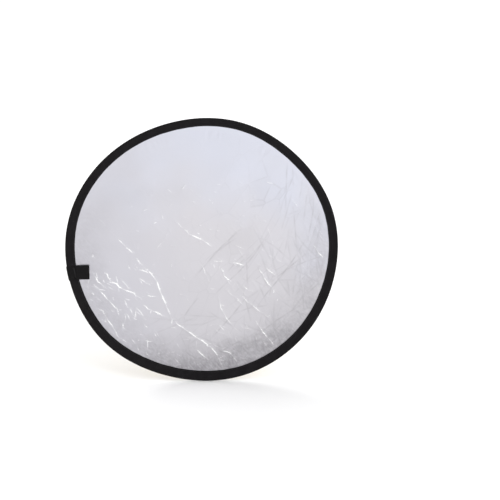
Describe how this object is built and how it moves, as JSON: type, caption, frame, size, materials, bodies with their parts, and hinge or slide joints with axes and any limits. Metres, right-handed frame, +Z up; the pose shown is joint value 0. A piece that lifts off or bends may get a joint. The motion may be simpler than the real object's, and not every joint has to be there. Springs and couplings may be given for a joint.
{
  "type": "collapsible reflector disc",
  "caption": "Round pop-up photographic reflector: sprung hoop in a black fabric rim, silver sheet one side, gold the other, webbing tab on the rim. Rolls up to either side.",
  "frame": {"origin": "centre of the disc, on the plane between the two sheets", "axes": "disc upright: +X to the right seen from the silver side, +Z up, -Y out of the silver face, +Y out of the gold face"},
  "size_m": [0.6, 0.0096, 0.6],
  "materials": {
    "silver_sheet": "metallised silver film on thin nylon, satin, finely creased",
    "gold_sheet": "metallised gold film on thin nylon, satin, finely creased",
    "binding_tape": "matte black woven nylon tape, folded over the rim and stitched",
    "webbing": "black nylon webbing, plain weave",
    "thread": "black polyester sewing thread",
    "spring_steel": "bare tempered spring steel"
  },
  "bodies": {
    "outer_left": {"silver_sheet_outer_left": "silver_sheet", "gold_sheet_outer_left": "gold_sheet", "rim_binding_left": "binding_tape", "spring_band_left": "spring_steel", "tab_wrap": "webbing", "tab_bartack_front": "thread", "tab_bartack_back": "thread"},
    "left": {"silver_sheet_left": "silver_sheet", "gold_sheet_left": "gold_sheet", "rim_binding_upper_left": "binding_tape", "rim_binding_lower_left": "binding_tape", "spring_band_upper_left": "spring_steel", "spring_band_lower_left": "spring_steel"},
    "centre": {"silver_sheet_centre": "silver_sheet", "gold_sheet_centre": "gold_sheet", "rim_binding_top": "binding_tape", "rim_binding_bottom": "binding_tape", "spring_band_top": "spring_steel", "spring_band_end_left": "spring_steel", "spring_band_end_right": "spring_steel", "band_ferrule": "spring_steel"},
    "right": {"silver_sheet_right": "silver_sheet", "gold_sheet_right": "gold_sheet", "rim_binding_upper_right": "binding_tape", "rim_binding_lower_right": "binding_tape", "spring_band_upper_right": "spring_steel", "spring_band_lower_right": "spring_steel"},
    "outer_right": {"silver_sheet_outer_right": "silver_sheet", "gold_sheet_outer_right": "gold_sheet", "rim_binding_right": "binding_tape", "spring_band_right": "spring_steel"},
    "tab": {"tab_loop": "webbing"}
  },
  "joints": [
    {"name": "left_bend", "type": "hinge", "parent": "centre", "child": "left", "pos_m": [-0.06, 0, 0], "axis": [0, 0, 1], "range_deg": [-68, 68], "stiffness_Nm_per_rad": 1.2},
    {"name": "left_outer_bend", "type": "hinge", "parent": "left", "child": "outer_left", "pos_m": [-0.18, 0, 0], "axis": [0, 0, 1], "range_deg": [-68, 68], "stiffness_Nm_per_rad": 1.2},
    {"name": "right_bend", "type": "hinge", "parent": "centre", "child": "right", "pos_m": [0.06, 0, 0], "axis": [0, 0, -1], "range_deg": [-68, 68], "stiffness_Nm_per_rad": 1.2},
    {"name": "right_outer_bend", "type": "hinge", "parent": "right", "child": "outer_right", "pos_m": [0.18, 0, 0], "axis": [0, 0, -1], "range_deg": [-68, 68], "stiffness_Nm_per_rad": 1.2},
    {"name": "tab_lift", "type": "hinge", "parent": "outer_left", "child": "tab", "pos_m": [-0.2767, -0.00315, -0.0463], "axis": [0.165, 0, -0.9863], "range_deg": [0, 150], "stiffness_Nm_per_rad": 0.002}
  ],
  "couplings": [
    {"joint": "left_outer_bend", "follows": "left_bend", "ratio": 1},
    {"joint": "right_outer_bend", "follows": "right_bend", "ratio": 1}
  ]
}
